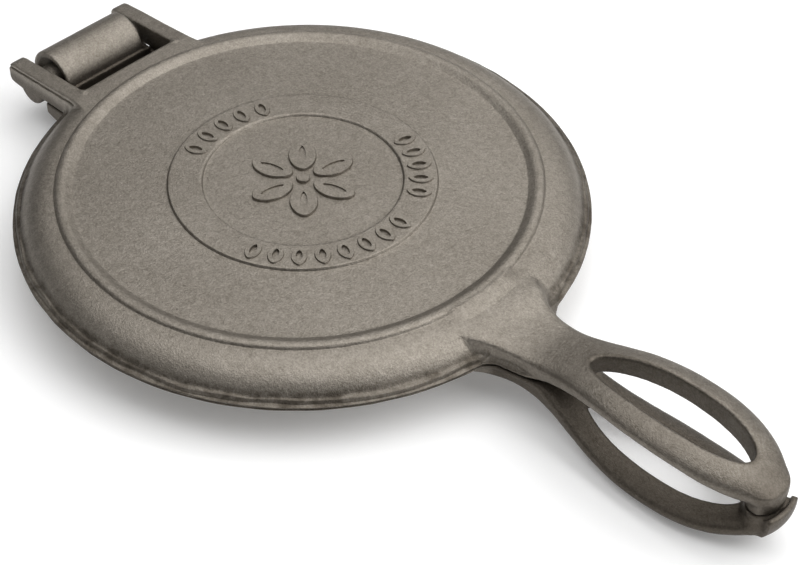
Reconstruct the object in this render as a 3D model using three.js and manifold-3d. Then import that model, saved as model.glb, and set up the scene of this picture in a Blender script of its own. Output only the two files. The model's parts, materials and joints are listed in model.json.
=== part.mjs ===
// Cast-iron stovetop waffle iron: two round plates with looped handles, joined by a hook-and-bar hinge.
// Millimetres, +Z up, +X towards the handles. Each shape is drawn from the plates' common axis (x = y = 0)
// and their parting plane (z = 0). The whole is then moved, so that the origin lies below its middle.
import * as THREE from "three";
import { mergeVertices } from "three/addons/utils/BufferGeometryUtils.js";
import Module from "manifold-3d";

const wasm = await Module();
wasm.setup();

// ---- Driving dimensions ----
const JOIN_GAP = 0.3; // hairline between two regions of one casting, each of which is a node
const PARTING_GAP = 0.15; // each half stays this far from the parting plane
const ROUND_STEPS = 80; // facets round a plate

const plate = {
  rimRadius: 111,
  rimThickness: 1.1,
  fieldHeight: 9.4, // flat outer face, above the parting plane
  ringHeight: 11.2, // flat top of the heat ring round the field
  ringInner: 89.4,
  ringOuter: 92.6,
  cavityRadius: 101,
  cavityDepth: 7.1,
  emblemInner: 38.4,
  emblemOuter: 51.4,
  emblemHeight: 0.8,
};

const grid = {
  radius: 98.7,
  bedHeight: 6, // face between the studs, above the parting plane
  studTop: 2.4, // stud tops, above the parting plane
  pitch: 14.5,
  studBase: 9.6,
  studTip: 7,
  ridgeBase: 6,
  ridgeTip: 4,
  reach: 95.5, // studs and ridges end here
};

// Stations along the handle: distance from the plate axis, half width, bottom, top, squareness of the section,
// and flare, the share by which its foot is wider and its crown narrower than the half width.
const HANDLE_STATIONS = [
  [91, 20, PARTING_GAP, 10.8, 7, 0],
  [98, 17.6, PARTING_GAP, 9.8, 7, 0.04],
  [106, 15.6, PARTING_GAP, 8.5, 6, 0.1],
  [114, 14, PARTING_GAP, 7.8, 5, 0.12],
  [122, 13, PARTING_GAP, 8.2, 4.5, 0.1],
  [129, 12.7, 0.8, 9.5, 4, 0.06],
  [137, 13.2, 3.1, 11.7, 3.4, 0.02],
  [146, 14.7, 5.4, 14.3, 2.8, 0],
  [157, 17, 7.2, 16.9, 2.4, 0],
  [169, 18.7, 7.9, 18.4, 2.2, 0],
  [181, 19.1, 7.9, 18.7, 2.2, 0],
  [192, 18.5, 6.9, 18.2, 2.2, 0],
  [202, 16.7, 4.4, 16.8, 2.2, 0],
  [210, 13.5, PARTING_GAP, 14.6, 2.3, 0],
  [216.5, 9.1, PARTING_GAP, 11.6, 2.5, 0],
  [220.5, 4.8, PARTING_GAP, 8.6, 2.8, 0],
  [222, 1.8, PARTING_GAP, 6, 3, 0],
];
const HANDLE_STEPS = 34;
const HANDLE_SECTION_POINTS = 24;
const loop = { start: 142, end: 208, halfWidth: 9.9, egg: 0.06, points: 36 };
const lip = { centre: 205, inner: 17.4, outer: 20, halfAngle: 0.36, low: -5.5, seat: -0.5, high: 2 };

const hinge = {
  axisX: -128.7, // the axis lies in the parting plane
  barRadius: 5.6,
  eyeRadius: 6.8,
  hookInner: 6.4,
  hookOuter: 11.6,
  hookHalfWidth: 20,
  hookEndAngle: THREE.MathUtils.degToRad(196),
  earInner: 23.4,
  earOuter: 31,
  earEnd: -142.9,
  sillEdge: -102,
  blockEnd: -119.5,
};

// ---- Finishes ----
const castIron = { color: 0x6f6961, roughness: 0.62, metalness: 0.85 };
const seasonedIron = { color: 0x3f3b37, roughness: 0.5, metalness: 0.85 };

// ---- Solids ----
function solidFrom(geometry) {
  const bare = geometry.clone();
  bare.deleteAttribute("normal");
  bare.deleteAttribute("uv");
  const merged = mergeVertices(bare, 1e-4);
  const corners = merged.index.array;
  const kept = [];
  for (let i = 0; i < corners.length; i += 3) {
    const [a, b, c] = corners.slice(i, i + 3);
    if (a !== b && b !== c && c !== a) kept.push(a, b, c);
  }
  const vertProperties = new Float32Array(merged.attributes.position.array);
  return new wasm.Manifold(new wasm.Mesh({ numProp: 3, vertProperties, triVerts: new Uint32Array(kept) }));
}

function geometryFrom(solid) {
  const { vertProperties, triVerts } = solid.getMesh();
  const geometry = new THREE.BufferGeometry();
  geometry.setAttribute("position", new THREE.BufferAttribute(vertProperties, 3));
  geometry.setIndex(new THREE.BufferAttribute(triVerts, 1));
  const faceted = geometry.toNonIndexed();
  faceted.computeVertexNormals();
  return faceted;
}

// A profile of [radius, height] pairs turned about +Z. It runs from the axis at the bottom to the axis at the top.
function turned(profile) {
  const points = profile.map(([radius, height]) => new THREE.Vector2(radius, height));
  return new THREE.LatheGeometry(points, ROUND_STEPS).rotateX(Math.PI / 2);
}

// An outline in X and Z, made solid from y = low to y = high.
function acrossY(shape, low, high) {
  const geometry = new THREE.ExtrudeGeometry(shape, { depth: high - low, bevelEnabled: false, curveSegments: 20 });
  return geometry.rotateX(Math.PI / 2).translate(0, high, 0);
}

// An outline in X and Y, made solid from z = low to z = high.
function upZ(shape, low, high) {
  const geometry = new THREE.ExtrudeGeometry(shape, { depth: high - low, bevelEnabled: false, curveSegments: 16 });
  return geometry.translate(0, 0, low);
}

function outline(points) {
  return new THREE.Shape(points.map(([x, y]) => new THREE.Vector2(x, y)));
}

// A skin over rings of equal length, closed at each end by a fan.
function loft(rings) {
  const count = rings[0].length;
  const last = (rings.length - 1) * count;
  const vertices = rings.flat();
  const index = [];
  for (let r = 0; r < rings.length - 1; r += 1) {
    for (let i = 0; i < count; i += 1) {
      const j = (i + 1) % count;
      const a = r * count + i;
      const b = r * count + j;
      index.push(a, b, a + count, b, b + count, a + count);
    }
  }
  for (let i = 1; i < count - 1; i += 1) {
    index.push(0, i + 1, i);
    index.push(last, last + i, last + i + 1);
  }
  return new THREE.BufferGeometry().setFromPoints(vertices).setIndex(index);
}

// ---- Plates ----
// The outer face from the rim to the axis, lifted off the true face by grow.
function plateFace(grow) {
  const { rimRadius, rimThickness, fieldHeight, ringHeight, ringInner, ringOuter } = plate;
  const { emblemInner, emblemOuter, emblemHeight } = plate;
  const shoulder = [
    [rimRadius, rimThickness],
    [109, 1.6],
    [107.4, 2.6],
    [105.8, 4.3],
    [103.5, 6.6],
    [100.5, 8.6],
    [97, 9.9],
    [ringOuter + 0.8, ringHeight - 0.7],
  ];
  const ring = [
    [ringOuter, ringHeight],
    [ringInner, ringHeight],
    [ringInner - 2.4, fieldHeight],
  ];
  const emblemBand = [
    [emblemOuter + 0.4, fieldHeight],
    [emblemOuter, fieldHeight + emblemHeight],
    [emblemInner, fieldHeight + emblemHeight],
    [emblemInner - 0.4, fieldHeight],
  ];
  const face = [...shoulder, ...ring, ...emblemBand, [0, fieldHeight]];
  return face.map(([radius, height]) => [radius > 0 ? radius + grow : 0, height + grow]);
}

function plateBody() {
  const { rimRadius, cavityRadius, cavityDepth } = plate;
  return turned([
    [0, cavityDepth],
    [cavityRadius - 2, cavityDepth],
    [cavityRadius, PARTING_GAP],
    [rimRadius, PARTING_GAP],
    ...plateFace(0),
  ]);
}

// The room a plate takes, with the hairline round it, for cutting what joins it.
const plateRoom = solidFrom(
  turned([[0, -20], [plate.rimRadius + JOIN_GAP, -20], ...plateFace(JOIN_GAP)]),
);

// Level web from the heat ring to the hinge, between the ears.
function hingeSill() {
  const shape = outline([
    [-92, 8],
    [-91.5, plate.ringHeight - 0.5],
    [-94, 10.6],
    [hinge.sillEdge + 0.6, 9.8],
    [hinge.sillEdge, 9.2],
    [hinge.sillEdge - 0.6, 4.6],
    [hinge.sillEdge + 0.2, 4.6],
    [hinge.sillEdge + 2, 7.7],
  ]);
  const reach = hinge.earInner - JOIN_GAP;
  return acrossY(shape, -reach, reach);
}

// ---- Waffle grid ----
function stud(x, y) {
  const { studBase, studTip, bedHeight, studTop } = grid;
  const height = bedHeight - studTop + JOIN_GAP;
  const geometry = new THREE.CylinderGeometry(studBase * Math.SQRT1_2, studTip * Math.SQRT1_2, height, 4);
  return geometry
    .rotateY(Math.PI / 4)
    .rotateX(Math.PI / 2)
    .translate(x, y, studTop + height / 2);
}

function ridge() {
  const { ridgeBase, ridgeTip, bedHeight, studTop, radius } = grid;
  const top = bedHeight + JOIN_GAP;
  const shape = outline([
    [-ridgeTip / 2, studTop],
    [ridgeTip / 2, studTop],
    [ridgeBase / 2, top],
    [-ridgeBase / 2, top],
  ]);
  return acrossY(shape, -radius, radius);
}

function waffleGrid() {
  const { radius, bedHeight, studTop, pitch, studBase, ridgeBase, reach } = grid;
  const bedTop = plate.cavityDepth - JOIN_GAP;
  const first = ridgeBase / 2 + 1.2 + studBase / 2;
  let studs = solidFrom(ridge()).add(solidFrom(ridge().rotateZ(Math.PI / 2)));
  for (let x = first; x < reach; x += pitch) {
    for (let y = first; y < reach; y += pitch) {
      if (Math.hypot(x - studBase / 2, y - studBase / 2) > reach - 3) continue;
      for (const [sx, sy] of [[1, 1], [1, -1], [-1, 1], [-1, -1]]) {
        studs = studs.add(solidFrom(stud(sx * x, sy * y)));
      }
    }
  }
  const within = turned([[0, studTop - 1], [reach, studTop - 1], [reach + 1, bedHeight + 0.5], [0, bedHeight + 0.5]]);
  const bed = turned([[0, bedHeight], [radius, bedHeight], [radius, bedTop], [0, bedTop]]);
  return geometryFrom(solidFrom(bed).add(studs.intersect(solidFrom(within))));
}

// ---- Handles ----
function handleBody() {
  const rings = [];
  for (let step = 0; step <= HANDLE_STEPS; step += 1) {
    const [x, halfWidth, foot, crown, squareness, flare] = handleStation(step / HANDLE_STEPS);
    const middle = (crown + foot) / 2;
    const ring = [];
    for (let i = 0; i < HANDLE_SECTION_POINTS; i += 1) {
      const angle = (2 * Math.PI * i) / HANDLE_SECTION_POINTS;
      const across = superellipse(Math.cos(angle), squareness);
      const up = superellipse(Math.sin(angle), squareness);
      ring.push(new THREE.Vector3(x, halfWidth * across * (1 - flare * up), middle + ((crown - foot) / 2) * up));
    }
    rings.push(ring);
  }
  return loft(rings);
}

// The station at a share of the handle's length, with every column on a smooth curve through the table.
function handleStation(share) {
  const columns = HANDLE_STATIONS[0].map((_, column) => {
    const values = HANDLE_STATIONS.map((station) => station[column]);
    return curveValue(values, share);
  });
  columns[2] = Math.max(columns[2], PARTING_GAP);
  return columns;
}

function curveValue(values, share) {
  const curve = new THREE.SplineCurve(values.map((value, i) => new THREE.Vector2(i, value)));
  return curve.getPoint(share).y;
}

function superellipse(value, squareness) {
  return Math.sign(value) * Math.abs(value) ** (2 / squareness);
}

// The egg-shaped finger hole, wider towards the tip.
function loopHole() {
  const edge = [];
  for (let i = 0; i < loop.points; i += 1) {
    const angle = (2 * Math.PI * i) / loop.points;
    const along = (1 - Math.cos(angle)) / 2;
    const x = loop.start + along * (loop.end - loop.start);
    edge.push([x, loop.halfWidth * Math.sin(angle) * (1 + loop.egg * (2 * along - 1))]);
  }
  return upZ(outline(edge), -30, 30);
}

function handle() {
  return solidFrom(handleBody()).subtract(solidFrom(loopHole())).subtract(plateRoom);
}

// A sector of a disc, or of a ring, in front of the handle's tip.
function tipSector(inner, low, high) {
  const { centre, outer, halfAngle } = lip;
  const shape = new THREE.Shape();
  shape.absarc(centre, 0, outer, -halfAngle, halfAngle, false);
  shape.absarc(centre, 0, inner, halfAngle, -halfAngle, true);
  return upZ(shape, low, high);
}

// The lower handle is the upper one upside down, with a lip that stands up in front of the upper tip.
function lowerHandle() {
  const lipFoot = tipSector(9, -lip.seat, -lip.low);
  const lipWall = tipSector(lip.inner, -lip.high, -lip.low);
  return handle().add(solidFrom(lipFoot)).add(solidFrom(lipWall));
}

// ---- Hinge ----
function ear(low, high) {
  const { axisX, eyeRadius, earEnd, blockEnd } = hinge;
  const eyeStart = THREE.MathUtils.degToRad(207);
  const eyeStop = THREE.MathUtils.degToRad(330);
  const shape = new THREE.Shape();
  shape.moveTo(-88, 10.6);
  shape.lineTo(-139.4, 6.6);
  shape.quadraticCurveTo(earEnd + 0.4, 6.2, earEnd, 3.2);
  shape.lineTo(earEnd, -0.8);
  shape.quadraticCurveTo(earEnd + 0.1, -2.4, earEnd + 1.8, -2.7);
  shape.absarc(axisX, 0, eyeRadius, eyeStart, eyeStop, false);
  shape.lineTo(-122, -1.6);
  shape.lineTo(blockEnd + 7, -1.4);
  shape.lineTo(blockEnd + 7, PARTING_GAP);
  shape.lineTo(-88, PARTING_GAP);
  return geometryFrom(solidFrom(acrossY(shape, low, high)).subtract(plateRoom));
}

function hingeBar() {
  const length = 2 * (hinge.earInner - JOIN_GAP);
  return new THREE.CylinderGeometry(hinge.barRadius, hinge.barRadius, length, 32).translate(hinge.axisX, 0, 0);
}

// Drawn upside down like the other lower pieces: the hook's open side and the block's outer face point up.
function hingeHook() {
  const { axisX, hookInner, hookOuter, hookHalfWidth, hookEndAngle, earOuter, blockEnd } = hinge;
  const legFoot = 6.7;
  const hook = new THREE.Shape();
  hook.moveTo(axisX + hookInner, legFoot);
  hook.lineTo(axisX + hookInner, 0);
  hook.absarc(axisX, 0, hookInner, 0, -hookEndAngle, true);
  hook.absarc(axisX, 0, hookOuter, -hookEndAngle, 0, false);
  hook.lineTo(axisX + hookOuter, legFoot);
  const block = outline([
    [blockEnd, 1.8],
    [-91, 1.8],
    [-91, 10.3],
    [-101, 10.2],
    [-108, 9.5],
    [-115.6, 8],
    [blockEnd, legFoot],
  ]);
  const web = solidFrom(acrossY(block, -earOuter, earOuter));
  return geometryFrom(solidFrom(acrossY(hook, -hookHalfWidth, hookHalfWidth)).add(web).subtract(plateRoom));
}

// ---- Assembly ----
const upperHalf = new THREE.Group();
const lowerHalf = new THREE.Group();
lowerHalf.scale.z = -1; // every lower piece is drawn upside down

function place(half, name, geometry, finish) {
  const mesh = new THREE.Mesh(geometry, new THREE.MeshStandardMaterial(finish));
  mesh.name = name;
  half.add(mesh);
}

const upperPlate = solidFrom(plateBody()).add(solidFrom(hingeSill()));
place(upperHalf, "upper_plate", geometryFrom(upperPlate), castIron);
place(upperHalf, "upper_waffle_grid", waffleGrid(), seasonedIron);
place(upperHalf, "upper_handle", geometryFrom(handle()), castIron);
place(upperHalf, "hinge_ear_left", ear(-hinge.earOuter, -hinge.earInner), castIron);
place(upperHalf, "hinge_ear_right", ear(hinge.earInner, hinge.earOuter), castIron);
place(upperHalf, "hinge_bar", hingeBar(), castIron);

place(lowerHalf, "lower_plate", plateBody(), castIron);
place(lowerHalf, "lower_waffle_grid", waffleGrid(), seasonedIron);
place(lowerHalf, "lower_handle", geometryFrom(lowerHandle()), castIron);
place(lowerHalf, "hinge_hook", hingeHook(), castIron);

const aboutPlateAxis = new THREE.Group();
aboutPlateAxis.add(upperHalf, lowerHalf);
const extent = new THREE.Box3().setFromObject(aboutPlateAxis);
aboutPlateAxis.position.set(-(extent.min.x + extent.max.x) / 2, 0, -extent.min.z);

const waffleIron = new THREE.Group();
waffleIron.add(aboutPlateAxis);

export default waffleIron;
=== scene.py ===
"""Looks for the cast-iron stovetop waffle iron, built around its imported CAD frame.

Shapes are worked out in millimetres from the plates' common axis (x = y = 0) and their parting plane
(z = 0), with +X towards the handles. `placed` moves them into the frame, in metres. Every lower shape is
drawn as an upper one and turned upside down.
"""

import json
import math

import bpy
import numpy as np
from mathutils import Matrix, Vector


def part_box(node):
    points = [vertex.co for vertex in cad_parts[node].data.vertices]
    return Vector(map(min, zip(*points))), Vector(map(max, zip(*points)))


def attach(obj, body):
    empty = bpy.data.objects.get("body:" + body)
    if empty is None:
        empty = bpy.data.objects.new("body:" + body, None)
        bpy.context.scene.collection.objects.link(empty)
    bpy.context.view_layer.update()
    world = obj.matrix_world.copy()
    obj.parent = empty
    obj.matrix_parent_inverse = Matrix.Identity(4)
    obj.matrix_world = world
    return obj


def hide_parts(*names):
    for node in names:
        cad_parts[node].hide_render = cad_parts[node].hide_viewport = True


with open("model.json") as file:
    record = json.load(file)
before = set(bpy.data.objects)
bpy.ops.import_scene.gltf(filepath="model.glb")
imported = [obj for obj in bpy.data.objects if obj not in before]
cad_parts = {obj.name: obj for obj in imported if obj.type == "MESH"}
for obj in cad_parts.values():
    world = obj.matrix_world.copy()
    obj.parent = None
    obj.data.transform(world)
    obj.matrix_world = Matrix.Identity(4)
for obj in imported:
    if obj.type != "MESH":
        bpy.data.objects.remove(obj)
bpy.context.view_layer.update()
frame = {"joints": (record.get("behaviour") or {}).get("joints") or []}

MM = 0.001
grid_low, grid_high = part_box("upper_waffle_grid")
PLATE_X = (grid_low.x + grid_high.x) / 2 / MM
PARTING_Z = frame["joints"][0]["pos_m"][2] / MM

# ---- Sizes, in millimetres ----
RIM = 110.6  # outer radius of a plate, at its flash
PARTING = 0.17  # half the gap between the closed plates
FIELD = 9.4  # height of the outer face
RING_TOP = 11.2  # height of the ring on it
CAVITY = (101.0, 99.2, 7.1)  # radius at the parting plane, radius at the roof, height of the roof
BAND = (38.4, 51.4, 1.1)  # inner radius, outer radius and rise of the ornament's band
OFF_CENTRE = (-1.6, 0.4)  # how far the ring's centre lies from the plate's
ROUND_STEPS = 600  # points round a plate
DISC_STEPS = 240  # points round a plain disc

AXIS_X = -128.7  # the hinge's axis
BAR = 5.6  # radius of the bar
HOOK = (6.5, 11.55)  # radii of the roll's hollow and of its outside
HOOK_HALF = 19.9  # half the roll's length
EAR = (23.5, 30.9)  # inner and outer side of an ear

MOST_TRIANGLES = 190000  # in one casting
FAR = 9  # more than any distance that a cut has to reach


# ---- Fields and their helpers ----
def soft_min(a, b, k):
    h = np.clip(0.5 + 0.5 * (b - a) / k, 0, 1)
    return b + (a - b) * h - k * h * (1 - h)


def soft_max(a, b, k):
    return -soft_min(-a, -b, k)


def ripples(x, y, z, seed, scales, amplitude):
    """A smooth, repeatable unevenness: sums of sine waves in random directions."""
    rng = np.random.default_rng(seed)
    waves, total = 5, 0
    for scale in scales:
        for _ in range(waves):
            d = rng.normal(size=3)
            d *= 2 * math.pi / scale / np.linalg.norm(d)
            total = total + np.sin(d[0] * x + d[1] * y + d[2] * z + rng.uniform(0, 6.28)) * scale / scales[0]
    return total * amplitude / math.sqrt(waves * len(scales))


def smooth_step(value, start, end):
    t = np.clip((value - start) / (end - start), 0, 1)
    return t * t * (3 - 2 * t)


def polygon_distance(px, py, corners):
    """Signed distance to a closed outline, negative inside."""
    best = np.full(np.broadcast(px, py).shape, 1e9)
    inside = np.zeros(best.shape, bool)
    n = len(corners)
    for i in range(n):
        ax, ay = corners[i]
        bx, by = corners[(i + 1) % n]
        ex, ey = bx - ax, by - ay
        t = np.clip(((px - ax) * ex + (py - ay) * ey) / max(ex * ex + ey * ey, 1e-12), 0, 1)
        best = np.minimum(best, (px - ax - t * ex) ** 2 + (py - ay - t * ey) ** 2)
        if ay != by:
            inside ^= ((ay > py) != (by > py)) & (px < ax + (py - ay) * ex / ey)
    return np.where(inside, -1, 1) * np.sqrt(best)


def curve_through(x, xs, ys):
    """A smooth curve through a table of values."""
    xs, ys = np.asarray(xs, float), np.asarray(ys, float)
    slopes = np.gradient(ys, xs)
    i = np.clip(np.searchsorted(xs, x) - 1, 0, len(xs) - 2)
    step = xs[i + 1] - xs[i]
    t = np.clip((x - xs[i]) / step, 0, 1)
    return (
        (2 * t**3 - 3 * t**2 + 1) * ys[i]
        + (t**3 - 2 * t**2 + t) * step * slopes[i]
        + (3 * t**2 - 2 * t**3) * ys[i + 1]
        + (t**3 - t**2) * step * slopes[i + 1]
    )


def true_distance(field, step):
    """A field divided by its slope, which is close to a distance near its surface."""
    slope = np.sqrt(sum(g * g for g in np.gradient(field, step)))
    return field / np.maximum(slope, 0.25 * np.median(slope))


class Lattice:
    def __init__(self, low, high, step):
        self.low, self.step = np.array(low, float), step
        counts = np.ceil((np.array(high) - self.low) / step).astype(int) + 1
        axes = [self.low[i] + step * np.arange(counts[i]) for i in range(3)]
        self.x, self.y, self.z = axes[0][:, None, None], axes[1][None, :, None], axes[2][None, None, :]
        self.shape = tuple(counts)

    def skin(self, field):
        """The surface where field is 0, as (vertices, quads), by surface nets."""
        f = np.broadcast_to(field, self.shape).copy()
        for axis in range(3):
            edge = [slice(None)] * 3
            for end in (0, -1):
                edge[axis] = end
                f[tuple(edge)] = np.maximum(f[tuple(edge)], 0.5)
        neg = f < 0
        nx, ny, nz = (c - 1 for c in f.shape)
        total = np.zeros((nx, ny, nz, 3))
        hits = np.zeros((nx, ny, nz))
        corner = [(i, j, k) for i in (0, 1) for j in (0, 1) for k in (0, 1)]
        for a in corner:
            for b in corner:
                if sum(b) - sum(a) != 1 or any(q < p for p, q in zip(a, b)):
                    continue
                fa = f[a[0] : a[0] + nx, a[1] : a[1] + ny, a[2] : a[2] + nz]
                fb = f[b[0] : b[0] + nx, b[1] : b[1] + ny, b[2] : b[2] + nz]
                cut = (fa < 0) != (fb < 0)
                t = np.where(cut, fa / np.where(cut, fa - fb, 1), 0)
                for axis in range(3):
                    total[..., axis] += np.where(cut, a[axis] + t * (b[axis] - a[axis]), 0)
                hits += cut
        used = hits > 0
        index = np.full(used.shape, -1)
        index[used] = np.arange(used.sum())
        where = np.argwhere(used)
        points = self.low + self.step * (where + total[used] / hits[used][:, None])
        quads = []
        for axis in range(3):
            u, v = (axis + 1) % 3, (axis + 2) % 3
            lo, hi = [slice(None)] * 3, [slice(None)] * 3
            lo[axis], hi[axis] = slice(0, -1), slice(1, None)
            a, b = neg[tuple(lo)], neg[tuple(hi)]
            for crossing, order in ((a & ~b, (0, 1, 2, 3)), (~a & b, (3, 2, 1, 0))):
                at = np.argwhere(crossing)
                around = []
                for du, dv in ((-1, -1), (0, -1), (0, 0), (-1, 0)):
                    cell = at.copy()
                    cell[:, u] += du
                    cell[:, v] += dv
                    around.append(index[tuple(cell.T)])
                quads.append(np.stack([around[i] for i in order], 1))
        return points, np.concatenate(quads)


# ---- Meshes ----
def mesh_object(name, points, faces):
    mesh = bpy.data.meshes.new(name)
    points = np.asarray(points, float)
    mesh.from_pydata(points.tolist(), [], faces if isinstance(faces, list) else faces.tolist())
    mesh.validate()
    made = bpy.data.objects.new(name, mesh)
    bpy.context.scene.collection.objects.link(made)
    return made


def evaluated(obj):
    """Applies an object's modifiers."""
    graph = bpy.context.evaluated_depsgraph_get()
    mesh = bpy.data.meshes.new_from_object(obj.evaluated_get(graph))
    obj.modifiers.clear()
    old, obj.data = obj.data, mesh
    bpy.data.meshes.remove(old)
    return obj


def combined(target, other, operation):
    change = target.modifiers.new("combine", "BOOLEAN")
    change.operation = operation
    change.solver = "MANIFOLD"
    change.object = other
    evaluated(target)
    bpy.data.objects.remove(other)
    return target


def slimmed(obj, most):
    """Thins a mesh to at most so many triangles, flattest places first."""
    obj.data.calc_loop_triangles()
    count = len(obj.data.loop_triangles)
    if count > most:
        thin = obj.modifiers.new("thin", "DECIMATE")
        thin.ratio = most / count
        evaluated(obj)
    return obj


def placed(obj, upside_down):
    """Millimetres about the plates' axis become metres in the frame."""
    flip = -1 if upside_down else 1
    obj.data.transform(
        Matrix.Translation((PLATE_X * MM, 0, PARTING_Z * MM)) @ Matrix.Diagonal((MM, MM, flip * MM, 1))
    )
    if upside_down:
        obj.data.flip_normals()
    return obj


def smooth_shaded(obj, angle):
    """Smooth but for its sharp edges, with the flat faces kept flat."""
    obj.data.polygons.foreach_set("use_smooth", [True] * len(obj.data.polygons))
    obj.data.set_sharp_from_angle(angle=math.radians(angle))
    even = obj.modifiers.new("even", "WEIGHTED_NORMAL")
    even.keep_sharp = True
    even.weight = 60
    evaluated(obj)


# ---- Plate ----
# Radius and height down the outer face, from the ornament's band over the ring to the flash.
OUTER_FACE = [
    (BAND[0] - 2.2, FIELD),
    (BAND[0] - 0.7, FIELD),
    (BAND[0] - 0.35, FIELD + 0.12),
    (BAND[0] + 0.1, FIELD + BAND[2] - 0.12),
    (BAND[0] + 0.4, FIELD + BAND[2]),
    (BAND[0] + 1.2, FIELD + BAND[2]),
    (BAND[1] - 1.2, FIELD + BAND[2]),
    (BAND[1] - 0.4, FIELD + BAND[2]),
    (BAND[1] - 0.1, FIELD + BAND[2] - 0.12),
    (BAND[1] + 0.35, FIELD + 0.12),
    (BAND[1] + 0.7, FIELD),
    (BAND[1] + 2.2, FIELD),
    (62, FIELD),
    (72, FIELD),
    (80, FIELD),
    (85.2, FIELD),
    (86.4, FIELD + 0.02),
    (86.9, FIELD + 0.14),
    (88, FIELD + 0.8),
    (89, FIELD + 1.36),
    (89.8, RING_TOP - 0.1),
    (90.6, RING_TOP + 0.03),
    (91.4, RING_TOP + 0.02),
    (92.1, RING_TOP - 0.12),
    (92.6, RING_TOP - 0.38),
    (92.9, RING_TOP - 0.8),
    (93.1, 10.05),
    (93.3, 9.84),
    (93.6, 9.78),
    (94.8, 9.75),
    (96.6, 9.6),
    (98.5, 9.22),
    (100.3, 8.65),
    (101.9, 7.9),
    (103.3, 7.0),
    (104.5, 6.0),
    (105.5, 4.95),
    (106.3, 3.95),
    (106.95, 3.1),
    (107.4, 2.65),
    (107.8, 2.45),
    (108.2, 2.4),
    (108.55, 2.28),
    (108.8, 1.95),
    (108.98, 1.45),
    (109.15, 1.08),
    (109.45, 0.9),
    (109.9, 0.85),
    (110.3, 0.76),
    (110.52, 0.6),
    (RIM, 0.38),
]
UNDERSIDE = [
    (RIM - 0.25, PARTING),
    (106, PARTING),
    (CAVITY[0] + 0.5, PARTING),
    (CAVITY[0], PARTING + 0.4),
]
CAVITY_FACE = [(CAVITY[1] + 0.2, CAVITY[2] - 0.9), (CAVITY[1] - 0.8, CAVITY[2]), (60, CAVITY[2])]


# Each unevenness of the cast edge: radius, spread, least height, and how far it strays.
WALL = (108.95, 0.6, 0.85, 0.5)
NOSE = (108.2, 0.6, 1.8, 0.3)
FLASH_START, FLASH_STRAYS = 109.8, 0.2
FACE_STRAYS, RING_STRAYS = 0.05, 0.06
OUTWARD = 5  # above this height a ring of points is on the outer face
CROWN = RING_TOP + 0.12  # nothing on the outer face stands higher than this
ROOT_RISE = RING_TOP + 0.1 - FIELD - 0.4  # of the face beside the handle's root, up to the ring


def near_to(radius, height, place):
    """1 at a place on the edge, fading to 0 beside it, on the points above its least height."""
    at, spread, least, _ = place
    return np.exp(-(((radius - at) / spread) ** 2)) * (height > least)


def plate(name, seed):
    rings = [(20, FIELD)] + OUTER_FACE + UNDERSIDE + CAVITY_FACE
    angles = 2 * math.pi * np.arange(ROUND_STEPS) / ROUND_STEPS
    radius = np.array([r for r, _ in rings])[:, None] + 0 * angles
    height = np.array([h for _, h in rings])[:, None] + 0 * angles
    c, s = np.cos(angles), np.sin(angles)
    # The flash left by the mould: the wall above it wanders, and the nose over the wall is dented.
    wall = near_to(radius, height, WALL)
    radius = radius + wall * ripples(110 * c, 110 * s, 0, seed, (38, 17, 8), WALL[3])
    edge = (radius > FLASH_START) * (height > PARTING + 0.01)
    radius = radius - edge * np.abs(ripples(110 * c, 110 * s, 80, seed + 4, (30, 9), FLASH_STRAYS))
    nose = near_to(radius, height, NOSE)
    height = height + nose * ripples(110 * c, 110 * s, 40, seed + 1, (14, 6, 3.5), NOSE[3])
    # The ring sits off centre, towards the hinge, and sinks into the root of the handle.
    outward = height > OUTWARD
    off = smooth_step(radius, 62, 84) * (1 - smooth_step(radius, 94, 106)) * outward
    root = smooth_step(radius, 92, 92.6) * (1 - smooth_step(radius, 92.6, 102)) * (c > 0) * outward
    height = height + root * ROOT_RISE * (1 - smooth_step(np.abs(radius * s), 10, 19))
    height = np.minimum(height, CROWN)
    outer = height > 3
    height = height + outer * ripples(radius * c, radius * s, 0, seed + 2, (34, 17, 9), FACE_STRAYS)
    ring = (radius > 86) * (radius < 94)
    radius = radius + ring * ripples(90 * c, 90 * s, 9, seed + 3, (30, 13), RING_STRAYS)
    x, y = radius * c + OFF_CENTRE[0] * off, radius * s + OFF_CENTRE[1] * off
    points = np.stack([x, y, height], 2).reshape(-1, 3)
    points = np.concatenate([points, [[0, 0, FIELD], [0, 0, CAVITY[2]]]])
    top, bottom = len(points) - 2, len(points) - 1
    n, m = len(rings), ROUND_STEPS
    i, j = np.meshgrid(np.arange(n - 1), np.arange(m), indexing="ij")
    k = (j + 1) % m
    quads = np.stack([i * m + j, (i + 1) * m + j, (i + 1) * m + k, i * m + k], 2).reshape(-1, 4)
    j = np.arange(m)
    first = np.stack([np.full(m, top), j, (j + 1) % m], 1)
    last = np.stack([np.full(m, bottom), (n - 1) * m + (j + 1) % m, (n - 1) * m + j], 1)
    return mesh_object(name, points, quads.tolist() + first.tolist() + last.tolist())


PLATE_OUTLINE = [(0, PARTING), (RIM, PARTING)] + OUTER_FACE[::-1] + [(0, FIELD)]
SUNK = 0.14  # how far a skirt lies under the plate's face where it doesn't rise from it
CAP_END = 103  # the radius that a cap reaches


def skirted(space, shape, blend, clear, cap):
    """Blends a shape into the plate's face and leaves the plate's cavity open.

    It stays outside the radius `clear`, and below the height `cap` out to CAP_END.
    """
    radius = np.sqrt(space.x**2 + space.y**2)
    heights = np.broadcast_to(space.z, (1, 1, space.shape[2]))
    face = polygon_distance(radius, heights, PLATE_OUTLINE) + SUNK
    made = np.where(space.z < PARTING, shape, soft_min(shape, face, blend))
    near = np.maximum(np.where(radius < CAP_END, space.z - cap, -FAR), clear - radius)
    cavity = np.maximum(radius - CAVITY[0] - 0.4, space.z - CAVITY[2] - 0.4)
    return np.maximum(np.maximum(made, near), -cavity)


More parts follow.
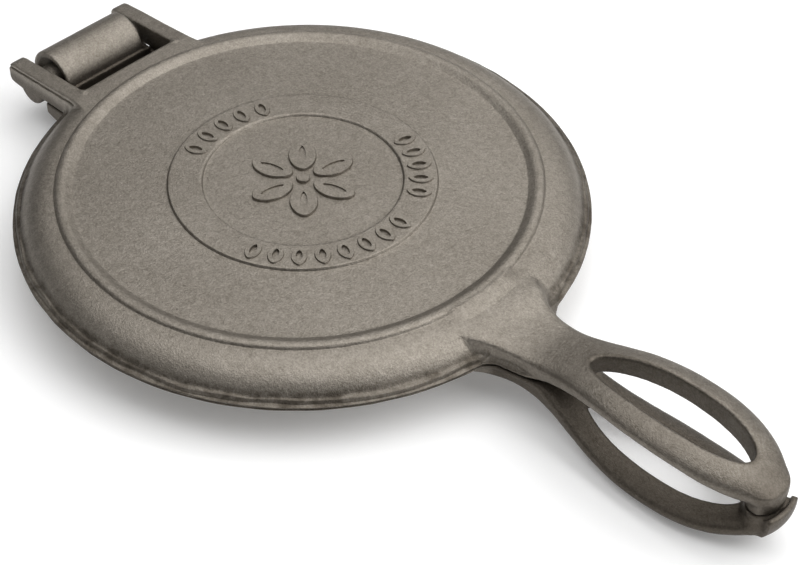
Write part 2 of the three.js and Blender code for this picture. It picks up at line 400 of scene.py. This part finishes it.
# ---- Handle ----
# Distance from the plates' axis, half width, bottom, top, squareness of the section, flare of its foot.
STATIONS = np.array(
    [
        (88, 21.5, 0.2, 9.6, 7, 0.0),
        (93, 20.6, 0.2, 9.5, 7, 0.0),
        (98, 19.4, 0.2, 9.25, 7, 0.3),
        (102.5, 17.9, 0.2, 8.9, 7, 1.0),
        (107, 16.0, 0.2, 8.5, 6.5, 2.4),
        (112, 14.3, 0.2, 8.0, 6, 3.6),
        (118, 12.8, 0.2, 7.8, 5.5, 4.2),
        (123.6, 12.3, 0.2, 8.2, 5, 3.4),
        (129, 12.2, 0.8, 9.4, 4, 1.8),
        (137, 12.9, 3.1, 11.6, 3.4, 0.6),
        (146, 14.6, 5.4, 14.2, 2.8, 0),
        (157, 16.9, 7.2, 16.8, 2.4, 0),
        (169, 18.6, 7.9, 18.2, 2.2, 0),
        (181, 19.0, 7.9, 18.5, 2.2, 0),
        (192, 18.4, 7.1, 18.0, 2.2, 0),
        (202, 16.6, 5.8, 16.6, 2.2, 0),
        (210, 13.4, 4.8, 14.4, 2.3, 0),
        (216.5, 9.0, 4.3, 11.4, 2.5, 0),
        (220.5, 4.7, 3.6, 8.6, 2.8, 0),
        (222, 1.6, 3.2, 6.6, 3, 0),
    ]
)
LOOP = (142.0, 208.0, 9.9)  # the eye: where it starts and ends, and half its width
LUG = (216, 6.4, 7.8, 4.2, 4)  # middle, half length, half width, middle height, half height
TIP_X = 221.8  # the end of the handle
FOOT = (3.3, 3, 1.3)  # where the foot's flare starts, how far it comes down, and its curve
# The lip's centre, the radii of its wall and of its root, its sweep, its top and its rounding.
LIP = dict(x=205, outer=19.85, inner=17.45, root=12, arc=18.5, half_arc=8.0, top=2.0, round=0.9)
HANDLE_STEP = 0.6
RIPPLES = 0.07  # on the handle and the hinge
TOUCHING_END = 190  # up to here the handle's foot stays above the parting plane


def handle_field(space):
    half, low, high, power, flare = (
        curve_through(space.x, STATIONS[:, 0], STATIONS[:, column]) for column in range(1, 6)
    )
    low = np.maximum(low, 0.2)
    middle, rise = (low + high) / 2, (high - low) / 2
    up = (space.z - middle) / rise
    width = half + flare * np.clip((FOOT[0] - space.z) / FOOT[1], 0, 1) ** FOOT[2]
    across = np.abs(space.y) / width
    body = ((across**power + np.abs(up) ** power) ** (1 / power) - 1) * np.minimum(half, rise)
    body = true_distance(body, space.step)
    # The lug under the tip comes down to the parting plane.
    at, long, wide, level, tall = LUG
    lug = (((space.x - at) / long) ** 2 + (space.y / wide) ** 2) ** 0.5 - 1
    lug = np.maximum(lug * long, np.abs(space.y) - np.maximum(half, 2) + 0.4)
    lug = np.maximum(lug, np.abs(space.z - level) - tall)
    body = soft_min(body, lug, 2.6)
    body = soft_max(body, space.x - TIP_X, 1.5)
    start, end, width = LOOP
    along = (2 * space.x - start - end) / (end - start)
    power = np.where(along > 0, 2.5, 1.9)
    hole = (np.abs(along) ** power + np.abs(space.y / (width * (1 + 0.06 * along))) ** 2) ** 0.5 - 1
    hole = np.broadcast_to(hole * width, (*space.shape[:2], 3)).copy()
    hole = true_distance(hole, space.step)[..., :1]
    draft = 0.03 * np.abs(space.z - 11)
    return np.maximum(soft_max(body, -(hole - draft), 1.6), PARTING + 0.03 - space.z)


def rounded_corner(a, b, radius):
    """The larger of two distances, with a round corner where they meet."""
    a, b = a + radius, b + radius
    return np.minimum(np.maximum(a, b), 0) + np.sqrt(np.maximum(a, 0) ** 2 + np.maximum(b, 0) ** 2) - radius


def lip_field(space):
    """The curved wall on the lower handle's tip, in front of the upper one's, with a rounded crest."""
    up = -space.z
    radius = np.sqrt((space.x - LIP["x"]) ** 2 + space.y**2)
    sweep = np.abs(np.arctan2(space.y, space.x - LIP["x"])) * LIP["arc"]
    outer = LIP["outer"] - 0.045 * np.clip(-1 - up, 0, 9) ** 2
    inner = np.where(up > -0.4, LIP["inner"], LIP["root"])
    wall = np.maximum(radius - outer, inner - radius)
    sides = np.maximum(wall, sweep - LIP["half_arc"])
    crest = rounded_corner(sides, up - LIP["top"] + 0.012 * sweep**2, LIP["round"])
    return np.maximum(crest, -9 - up)


def handle(name, seed, with_lip):
    space = Lattice((85, -27, -3 if with_lip else -1), (227, 33, 20), HANDLE_STEP)
    shape = handle_field(space)
    if with_lip:
        shape = soft_min(shape, lip_field(space), 1.6)
    shape = shape + ripples(space.x, space.y, space.z, seed, (24, 11, 6), RIPPLES)
    # The fillet into the plate is wider on the far side, and runs out towards the ring.
    widening = 3.3 + 3.5 * smooth_step(space.y, -4, 12)
    blend = 1.2 + widening * smooth_step(space.x, 95, 107)
    shape = skirted(space, shape, blend, 93.6, 10.6)
    apart = np.where(space.x < TOUCHING_END, PARTING + 0.05 - space.z, -FAR)
    return mesh_object(name, *space.skin(np.maximum(shape, apart)))


# ---- Hinge ----
EAR_TOP = [(-86, 9.9), (-100, 9.75), (-139.0, 6.7), (-141.6, 6.0), (-142.6, 4.6)]
EAR_END = [(-142.75, -0.6), (-142.3, -2.0), (-141.0, -2.7)]
EAR_UNDER = [(-121.6, -1.6), (-112, -1.3), (-86, -1.3)]
EAR_EYE = (6.8, 207, 330)  # radius of the round under the axis, and the angles it spans
SEAM = (1.7, 0.0635, 0.6, 0.9)  # depth under the ear's top edge, its slope, half width, depth
SILL = [(-86, 7.2), (-86, 9.7), (-101.6, 9.7), (-102.6, 9.2), (-102.9, 4.6), (-101.4, 4.6), (-99.6, 7.2)]
BLOCK = [(-119.4, 1.9), (-86, 1.9), (-86, 9.7), (-101, 9.9), (-108, 9.4), (-115.6, 8.0), (-119.4, 6.7)]
POCKET = (-110.5, 7.2, 22.4, 6.3)  # middle, half length, half width, floor
WEB = (-118.9, 2.6, 23.1, 3.6, 3.3)  # middle, half length, half width, middle height, half height
HINGE_STEP = 0.55


def ear_outline():
    radius, first, last = EAR_EYE
    turn = np.radians(np.linspace(first, last, 16))
    eye = [(AXIS_X + radius * math.cos(a), radius * math.sin(a)) for a in turn]
    return EAR_TOP + EAR_END + eye + EAR_UNDER


def extruded(space, outline):
    """Distance to an outline in the x-z plane, endless across."""
    return polygon_distance(space.x[:, :, 0], space.z[0], outline)[:, None, :]


def rounded_slab(flat, off, half, radius):
    """Extrudes a flat distance to either side of a middle plane, with its edges rounded."""
    return rounded_corner(flat, np.abs(off) - half, radius)


def hinge_skirted(space, shape):
    """As skirted, clear of the other half's plate too."""
    made = skirted(space, shape, 3, 93.4, 9.8)
    radius = np.sqrt(space.x**2 + space.y**2)
    other = np.maximum(radius - RIM - 0.4, space.z - PARTING - 0.03)
    return np.maximum(made, -other)


def upper_hinge(name, seed):
    space = Lattice((-144.5, -34, -8.5), (-84, 34, 12.5), HINGE_STEP)
    flat = extruded(space, ear_outline())
    ears = rounded_slab(flat, np.abs(space.y) - (EAR[0] + EAR[1]) / 2, (EAR[1] - EAR[0]) / 2, 0.8)
    # A thin seam runs under the top edge of each ear's outer side.
    under, slope, half, depth = SEAM
    seam = np.abs(space.z - 9.9 + under - (space.x + 88) * slope) - half
    ears = soft_max(ears, -np.maximum(seam, EAR[1] - depth - np.abs(space.y)), 0.3)
    between = np.abs(space.y) - EAR[0] - 1
    sill = np.maximum(extruded(space, SILL), between)
    bar = np.maximum(np.sqrt((space.x - AXIS_X) ** 2 + space.z**2) - BAR, between)
    shape = soft_min(soft_min(ears, sill, 1.6), bar, 2.2)
    shape = shape + ripples(space.x, space.y, space.z, seed, (22, 10, 5), RIPPLES)
    return mesh_object(name, *space.skin(hinge_skirted(space, shape)))


def lower_hinge(name, seed):
    """Drawn upside down: the hook's open side and the block's outer face point up."""
    space = Lattice((-144, -34, -13), (-84, 34, 12.5), HINGE_STEP)
    dx = space.x - AXIS_X
    outer = np.where(space.z < 0, np.sqrt(dx**2 + space.z**2), np.abs(dx)) - HOOK[1]
    outer = np.maximum(outer, np.where(dx > 0, space.z - 6.6, (space.z - 3.2) * 0.97))
    # The hollow widens towards the roll's open ends.
    flared = smooth_step(np.abs(space.y), HOOK_HALF - 5, HOOK_HALF)
    middle = 0.7 * flared
    inner = np.where(space.z < 0, np.sqrt((dx - middle) ** 2 + space.z**2), np.abs(dx - middle))
    hollow = inner - HOOK[0] - 2.9 * flared
    roll = np.maximum(rounded_slab(outer, space.y, HOOK_HALF, 0.7), -hollow)
    block = rounded_slab(extruded(space, BLOCK), space.y, EAR[1], 0.8)
    # A pocket in front of the roll, and a web under the bar between the ears.
    at, long, wide, floor_at = POCKET
    pocket = np.maximum(np.abs(space.y) - wide, space.z - floor_at)
    pocket = np.maximum(np.abs(space.x - at) - long, pocket)
    at, long, wide, level, tall = WEB
    web = np.maximum(np.abs(space.y) - wide, np.abs(space.z - level) - tall)
    web = np.maximum(web, np.abs(space.x - at) - long)
    block = np.minimum(np.maximum(block, -pocket), web)
    shape = soft_min(block, roll, 1.5)
    shape = shape + ripples(space.x, space.y, space.z, seed, (22, 10, 5), RIPPLES)
    return mesh_object(name, *space.skin(hinge_skirted(space, shape)))


# ---- Ornament on the outer face ----
# Radius of the middle, length, width and roundness of each leaf of the rosette, and of the cut in it.
PETALS, PETAL_TURN = 6, 17
PETAL, PETAL_CUT = (13.4, 17.5, 11.0, 0.15), (13.6, 10.0, 2.6, 0.35)
BUD = (0, 5.6, 5.6, 0)
# The same for a leaf on the band: the first and last azimuth of each group, and its number of leaves.
LEAF, LEAF_CUT = (sum(BAND[:2]) / 2, 9.8, 6.2, 0.35), (sum(BAND[:2]) / 2, 5.6, 2.4, 0.35)
LEAF_GROUPS = ((203, 157, 5), (-68, 9, 8), (33, 74, 5))


def reliefs(name, outlines):
    """Closed solids over outlines (edge, low, high, bevel), as one mesh.

    Each is narrower at its top by its bevel, or wider where the bevel is negative.
    """
    points, faces = [], []
    for edge, low, high, bevel in outlines:
        ahead, behind = np.roll(edge, -1, 0), np.roll(edge, 1, 0)
        along = ahead - behind
        along /= np.linalg.norm(along, axis=1)[:, None]
        inward = np.stack([-along[:, 1], along[:, 0]], 1)
        start, n = len(points), len(edge)
        sloping = min(abs(bevel), 0.3)
        for level, inset in ((low, 0), (high - sloping, 0.4 * bevel), (high, bevel)):
            points += [(x, y, level) for x, y in edge + inward * inset]
        faces += [[start + i for i in range(n)][::-1], [start + 2 * n + i for i in range(n)]]
        for low_ring in (start, start + n):
            for i in range(n):
                k = (i + 1) % n
                faces.append([low_ring + i, low_ring + k, low_ring + n + k, low_ring + n + i])
    return mesh_object(name, points, faces)


def leaf_edge(angle, radius, length, width, pointed):
    """A leaf lying along a radius, or a dot if its sides are equal."""
    steps = 40
    t = 2 * math.pi * np.arange(steps) / steps
    u = np.cos(t) * length / 2
    v = np.sin(t) * np.abs(np.sin(t)) ** pointed * width / 2
    c, s = math.cos(angle), math.sin(angle)
    return np.stack([(radius + u) * c - v * s, (radius + u) * s + v * c], 1)


def ornament():
    """What stands up from the outer face, and what is sunk into it: a rosette, and leaves in groups."""
    top, raised, sunk = FIELD + BAND[2], [], []
    for i in range(PETALS):
        angle = math.radians(PETAL_TURN + 360 / PETALS * i)
        raised.append((leaf_edge(angle, *PETAL), FIELD - 0.6, top, 0.35))
        sunk.append((leaf_edge(angle, *PETAL_CUT), FIELD + 0.45, top + 1, -0.2))
    raised.append((leaf_edge(0, *BUD), FIELD - 0.6, top, 0.35))
    for first, last, count in LEAF_GROUPS:
        for i in range(count):
            angle = math.radians(first + (last - first) * i / (count - 1))
            raised.append((leaf_edge(angle, *LEAF), top - 0.5, top + 0.65, 0.3))
            sunk.append((leaf_edge(angle, *LEAF_CUT), top - 0.5, top + 1, -0.2))
    return reliefs("raised", raised), reliefs("sunk", sunk)


# ---- Waffle grid ----
# Heights of the bed and of the studs' tops, pitch, half widths of studs and ridges, and radius.
GRID = dict(bed=6.0, top=2.4, pitch=14.5, base=4.8, tip=3.5, ridge_base=3.0, ridge_tip=2.0, reach=95.6)
STUDS = 7  # from the middle to the edge
BED_RADIUS = 99.9
# Where the surface has points, beside the middle of a ridge and of a stud.
RIDGE_LINES = (0.9, 1.7, 2.0, 2.35, 2.7, 3.0, 3.3)
STUD_LINES = (-5.1, -4.8, -4.4, -3.9, -3.5, -3.15, -1.6, 0, 1.6, 3.15, 3.5, 3.9, 4.4, 4.8, 5.1)


def stud_height(d, base, tip):
    """0 at the bed and 1 on top, against the distance from a stud's middle line."""
    t = np.clip((base - d) / (base - tip), 0, 1)
    return t * t * (3 - 2 * t) * 0.35 + t * 0.65


def waffle_grid(name):
    first = GRID["ridge_base"] + 1.2 + GRID["base"]
    middles = [first + i * GRID["pitch"] for i in range(STUDS)]
    lines = [0.0, *RIDGE_LINES]
    lines += [middle + offset for middle in middles for offset in STUD_LINES]
    lines = np.unique(np.round(lines, 4))
    lines = np.concatenate([-lines[:0:-1], lines])
    across = np.min([np.abs(np.abs(lines) - m) for m in middles], 0)
    ridge = stud_height(np.abs(lines), GRID["ridge_base"], GRID["ridge_tip"])
    stud = stud_height(across, GRID["base"], GRID["tip"])
    rise = np.maximum(np.minimum(stud[:, None], stud[None, :]), np.maximum(ridge[:, None], ridge[None, :]))
    height = GRID["bed"] - (GRID["bed"] - GRID["top"]) * rise
    x, y = np.meshgrid(lines, lines, indexing="ij")
    n = len(lines)
    outer = np.stack([x, y, np.full_like(x, GRID["bed"] + 0.6)], 2).reshape(-1, 3)
    inner = np.stack([x, y, height], 2).reshape(-1, 3)
    i, j = (v.ravel() for v in np.meshgrid(np.arange(n - 1), np.arange(n - 1), indexing="ij"))
    quad = np.stack([i * n + j, (i + 1) * n + j, (i + 1) * n + j + 1, i * n + j + 1], 1)
    edge = np.concatenate(
        [
            np.arange(n - 1) * n,
            (n - 1) * n + np.arange(n - 1),
            (n - 1) * n + n - 1 - np.arange(n - 1) * n,
            n - 1 - np.arange(n - 1),
        ]
    )
    after = np.roll(edge, -1)
    side = np.stack([edge, edge + n * n, after + n * n, after], 1)
    faces = np.concatenate([quad, quad[:, ::-1] + n * n, side])
    field = mesh_object(name, np.concatenate([outer, inner]), faces)
    round_edge = disc("reach", GRID["reach"], GRID["reach"] + 1.2, 1, GRID["bed"] + 0.3)
    combined(field, round_edge, "INTERSECT")
    bed = disc("bed", BED_RADIUS, BED_RADIUS, GRID["bed"], CAVITY[2] + 0.5)
    return combined(field, bed, "UNION")


def disc(name, low_radius, high_radius, low, high):
    n = DISC_STEPS
    angles = 2 * math.pi * np.arange(n) / n
    ends = ((low_radius, low), (high_radius, high))
    points = [(r * math.cos(a), r * math.sin(a), z) for r, z in ends for a in angles]
    faces = [list(range(n))[::-1], list(range(n, 2 * n))]
    faces += [[i, (i + 1) % n, n + (i + 1) % n, n + i] for i in range(n)]
    return mesh_object(name, points, faces)


# ---- Materials ----
# Scale, detail and roughness of each noise, in a space of metres.
CLOUDS, BLOTCHES = (28, 4, 0.6), (170, 4, 0.6)
PITS, SAND, FINE = (330, 3, 0.65), (1250, 3, 0.75), (2600, 2, 0.6)
SPECKS = 1300
TONE_STOPS = (0.32, 0.5, 0.68)
GLOSS_SPREAD = 0.1
GRAIN_DEPTH = 0.00035
SHADE_AND_DARKENING_TINT = (0.34, 0.32, 0.3, 1)  # what the painted shade and the other darkening leave of the iron's colour
# Each fade runs from its first value to its second, and gives its third to its fourth. The values are
# metres, but the mottling's are the noise's own, and the eye's are fractions of its half size.
# Round the plate's edge, by the parting plane, the iron is darker in mottled patches.
EDGE_STARTS, EDGE_ENDS = (0.1035, 0.1072, 0, 1), (0.1102, 0.1107, 1, 0)
EDGE_LEVEL = (0.0032, 0.0056, 1, 0)
EDGE_MOTTLE = (0.3, 0.62, 1, 0.45)
# Painted shade past the plate's edge, below the parting plane and fading out 5.5 mm above it: on the lower
# handle and hinge, and under the upper ones.
UNDERNEATH, PAST_THE_PLATE = (0, 0.0055, 0.9, 0), (0.1075, 0.1125, 0, 1)
# Painted shade on the walls of the grips' eyes.
IN_THE_EYE = (1.04, 1.16, 0.75, 0)
# The handle darker towards its end, and painted shade on its tip.
ALONG_THE_HANDLE, TIP = (0.1, 0.138, 0, 0.36), (0.196, 0.219, 0, 0.72)


def node_of(tree, kind, **values):
    node = tree.nodes.new(kind)
    for key, value in values.items():
        if key in node.inputs:
            node.inputs[key].default_value = value
        else:
            setattr(node, key, value)
    return node


class Wiring:
    """Makes a material's nodes, each linked to what it works on."""

    def __init__(self, tree):
        self.tree = tree
        self.link = tree.links.new
        self.place = tree.nodes.new("ShaderNodeTexCoord").outputs["Object"]

    def noise(self, scale, detail, rough):
        node = node_of(self.tree, "ShaderNodeTexNoise", Scale=scale, Detail=detail, Roughness=rough)
        self.link(self.place, node.inputs["Vector"])
        return node.outputs["Fac"]

    def math(self, operation, *values):
        return self.worked("ShaderNodeMath", operation, values).outputs["Value"]

    def vector(self, operation, *values):
        return self.worked("ShaderNodeVectorMath", operation, values)

    def worked(self, kind, operation, values):
        node = node_of(self.tree, kind, operation=operation)
        for socket, value in zip(node.inputs, values):
            if isinstance(value, bpy.types.NodeSocket):
                self.link(value, socket)
            else:
                socket.default_value = value
        return node

    def length(self, vector):
        return self.vector("LENGTH", vector).outputs["Value"]

    def mixed(self, factor, a, b):
        node = node_of(self.tree, "ShaderNodeMix", data_type="FLOAT")
        node.inputs[0].default_value = factor
        self.link(a, node.inputs[2])
        self.link(b, node.inputs[3])
        return node.outputs[0]

    def fade(self, value, stops):
        node = node_of(self.tree, "ShaderNodeMapRange", interpolation_type="SMOOTHSTEP")
        for key, number in zip(("From Min", "From Max", "To Min", "To Max"), stops):
            node.inputs[key].default_value = number
        self.link(value, node.inputs["Value"])
        return node.outputs["Result"]

    def ramp(self, value, stops, tints):
        node = node_of(self.tree, "ShaderNodeValToRGB")
        bar = node.color_ramp
        while len(bar.elements) < len(stops):
            bar.elements.new(0.5)
        for element, at, tint in zip(bar.elements, stops, tints):
            element.position = at
            element.color = (*tint, 1)
        self.link(value, node.inputs["Fac"])
        return node.outputs["Color"]


def painted_shade_and_darkening(wiring):
    """How far the iron's colour is darkened: in mottled patches round the plate's edge, painted shade low
    down past the plate and under the grips, painted shade in their eyes and on the handle's tip, and more
    towards the handle's end.
    """
    centre = (PLATE_X * MM, 0, PARTING_Z * MM)
    centred = wiring.vector("SUBTRACT", wiring.place, centre).outputs["Vector"]
    flat = wiring.vector("MULTIPLY", centred, (1, 1, 0)).outputs["Vector"]
    radius = wiring.length(flat)
    split = node_of(wiring.tree, "ShaderNodeSeparateXYZ")
    wiring.link(centred, split.inputs["Vector"])
    along, level = split.outputs["X"], split.outputs["Z"]
    fade, math_of = wiring.fade, wiring.math

    edge = math_of("MULTIPLY", fade(radius, EDGE_STARTS), fade(radius, EDGE_ENDS))
    edge = math_of("MULTIPLY", edge, fade(math_of("ABSOLUTE", level), EDGE_LEVEL))
    edge = math_of("MULTIPLY", edge, fade(wiring.noise(*BLOTCHES), EDGE_MOTTLE))

    # Painted shade on the parts past the plate, low down by the parting plane, and in the grips' eyes.
    painted_shade = math_of("MULTIPLY", fade(level, UNDERNEATH), fade(radius, PAST_THE_PLATE))
    start, end, half = LOOP
    to_eye = (2 / (end - start) / MM, 1 / half / MM, 0)
    from_middle = (-(end + start) / (end - start), 0, 0)
    eye = wiring.vector("MULTIPLY_ADD", flat, to_eye, from_middle).outputs["Vector"]
    painted_shade = math_of("MAXIMUM", painted_shade, fade(wiring.length(eye), IN_THE_EYE))

    # The handle darker towards its end, and painted shade on its tip.
    grip = math_of("MAXIMUM", fade(along, ALONG_THE_HANDLE), fade(along, TIP))
    return math_of("MAXIMUM", math_of("MAXIMUM", edge, painted_shade), grip)


def cast_iron(name, tints, roughness, metallic, grain):
    made = bpy.data.materials.new(name)
    made.use_nodes = True
    tree = made.node_tree
    wiring = Wiring(tree)
    shader = tree.nodes["Principled BSDF"]
    clouds, pits, sand, fine = (wiring.noise(*size) for size in (CLOUDS, PITS, SAND, FINE))
    specks = node_of(tree, "ShaderNodeTexVoronoi", Scale=SPECKS)
    wiring.link(wiring.place, specks.inputs["Vector"])

    tone = wiring.mixed(0.6, wiring.mixed(0.6, clouds, pits), sand)
    # The colour is multiplied down where the mask says: painted shade, and a darker rim and handle end.
    shaded_and_darkened = node_of(tree, "ShaderNodeMix", data_type="RGBA", blend_type="MULTIPLY")
    wiring.link(painted_shade_and_darkening(wiring), shaded_and_darkened.inputs[0])
    wiring.link(wiring.ramp(tone, TONE_STOPS, tints), shaded_and_darkened.inputs[6])
    shaded_and_darkened.inputs[7].default_value = SHADE_AND_DARKENING_TINT
    wiring.link(shaded_and_darkened.outputs[2], shader.inputs["Base Color"])

    gloss = node_of(tree, "ShaderNodeMapRange")
    gloss.inputs["To Min"].default_value = roughness - GLOSS_SPREAD
    gloss.inputs["To Max"].default_value = roughness + GLOSS_SPREAD
    wiring.link(sand, gloss.inputs["Value"])
    wiring.link(gloss.outputs["Result"], shader.inputs["Roughness"])
    shader.inputs["Metallic"].default_value = metallic

    heights = wiring.math("MULTIPLY_ADD", sand, 0.7, fine)
    heights = wiring.math("MULTIPLY_ADD", specks.outputs["Distance"], 0.35, heights)
    heights = wiring.math("MULTIPLY_ADD", pits, 1.5, heights)
    bump = node_of(tree, "ShaderNodeBump", Strength=grain, Distance=GRAIN_DEPTH)
    wiring.link(heights, bump.inputs["Height"])
    wiring.link(bump.outputs["Normal"], shader.inputs["Normal"])
    return made


IRON_TINTS = ((0.15, 0.131, 0.106), (0.25, 0.225, 0.192), (0.36, 0.33, 0.288))
COOKING_TINTS = ((0.07, 0.061, 0.052), (0.115, 0.103, 0.09), (0.165, 0.15, 0.132))
iron = cast_iron("cast_iron", IRON_TINTS, 0.5, 0.95, 0.42)
dark_iron = cast_iron("cooking_iron", COOKING_TINTS, 0.42, 0.95, 0.5)


# ---- Pieces ----
def dressed(piece, half, material, sharp, nodes):
    placed(piece, half == "lower")
    smooth_shaded(piece, sharp)
    piece.data.materials.clear()
    piece.data.materials.append(material)
    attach(piece, half + "_half")
    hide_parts(*nodes)


def casting(half, seed, nodes, hinge):
    made = plate(half + "_casting", seed)
    combined(made, handle("grip", seed + 10, half == "lower"), "UNION")
    combined(made, hinge("knuckle", seed + 20), "UNION")
    raised, sunk = ornament()
    combined(made, raised, "UNION")
    combined(made, sunk, "DIFFERENCE")
    slimmed(made, MOST_TRIANGLES)
    dressed(made, half, iron, 42, nodes)


UPPER_NODES = ["upper_plate", "upper_handle", "hinge_ear_left", "hinge_ear_right", "hinge_bar"]
casting("upper", 11, UPPER_NODES, upper_hinge)
casting("lower", 47, ["lower_plate", "lower_handle", "hinge_hook"], lower_hinge)
for half in ("upper", "lower"):
    grid = waffle_grid(half + "_grid")
    dressed(grid, half, dark_iron, 40, [half + "_waffle_grid"])

# ---- Stage ----
FLOOR_HALF = 12  # metres
PAPER_GLOW = 0.16
SKY = 0.06
SOFTBOX_SIZE, SOFTBOX_AWAY = 1, 1.2  # metres
SOFTBOX_AIM = Vector((-0.04, 0, 0.018))
# Azimuth, elevation and power of each softbox.
SOFTBOXES = (
    (30, 25, 4.4),
    (30, 48, 7.5),
    (90, 48, 2.9),
    (120, 48, 3.3),
    (-60, 48, 0.3),
    (-120, 48, 1.2),
    (180, 78, 4.0),
    (270, 78, 3.0),
)

floor_mesh = bpy.data.meshes.new("floor")
corners = [(-1, -1), (1, -1), (1, 1), (-1, 1)]
floor_mesh.from_pydata([(x * FLOOR_HALF, y * FLOOR_HALF, 0) for x, y in corners], [], [(0, 1, 2, 3)])
floor = bpy.data.objects.new("floor", floor_mesh)
bpy.context.scene.collection.objects.link(floor)
paper = bpy.data.materials.new("paper")
paper.use_nodes = True
sheet = paper.node_tree.nodes["Principled BSDF"].inputs
sheet["Base Color"].default_value = (0.9, 0.9, 0.9, 1)
sheet["Roughness"].default_value = 0.9
sheet["Emission Color"].default_value = (1, 1, 1, 1)
sheet["Emission Strength"].default_value = PAPER_GLOW
floor.data.materials.append(paper)

world = bpy.data.worlds.new("studio")
world.use_nodes = True
world.node_tree.nodes["Background"].inputs["Color"].default_value = (1, 1, 1, 1)
world.node_tree.nodes["Background"].inputs["Strength"].default_value = SKY
bpy.context.scene.world = world


def softbox(azimuth, elevation, power):
    name = "softbox_%d_%d" % (azimuth, elevation)
    a, e = math.radians(azimuth), math.radians(elevation)
    away = Vector((math.cos(e) * math.cos(a), math.cos(e) * math.sin(a), math.sin(e)))
    light = bpy.data.lights.new(name, "AREA")
    light.shape = "RECTANGLE"
    light.size = light.size_y = SOFTBOX_SIZE
    light.energy = power
    lamp = bpy.data.objects.new(name, light)
    lamp.location = SOFTBOX_AIM + away * SOFTBOX_AWAY
    lamp.rotation_mode = "QUATERNION"
    lamp.rotation_quaternion = (-away).to_track_quat("-Z", "Y")
    bpy.context.scene.collection.objects.link(lamp)


for lamp_settings in SOFTBOXES:
    softbox(*lamp_settings)

# ---- Camera ----
SIGHT = Vector((-0.494397, 0.530562, -0.688531))
RIGHT = Vector((0.724004, 0.689699, 0.011593))
STAND = Vector((391.31, -364.90, 451.35 + RING_TOP))  # millimetres, from the plates' middle
view = bpy.data.cameras.new("camera")
view.sensor_width = 36
view.lens = 82.575
view.clip_start = 0.01
camera = bpy.data.objects.new("camera", view)
turned = Matrix((RIGHT, RIGHT.cross(SIGHT), -SIGHT)).transposed().to_4x4()
camera.matrix_world = Matrix.Translation((STAND + Vector((PLATE_X, 0, PARTING_Z))) * MM) @ turned
bpy.context.scene.collection.objects.link(camera)
bpy.context.scene.camera = camera
bpy.context.scene.view_settings.view_transform = "Standard"
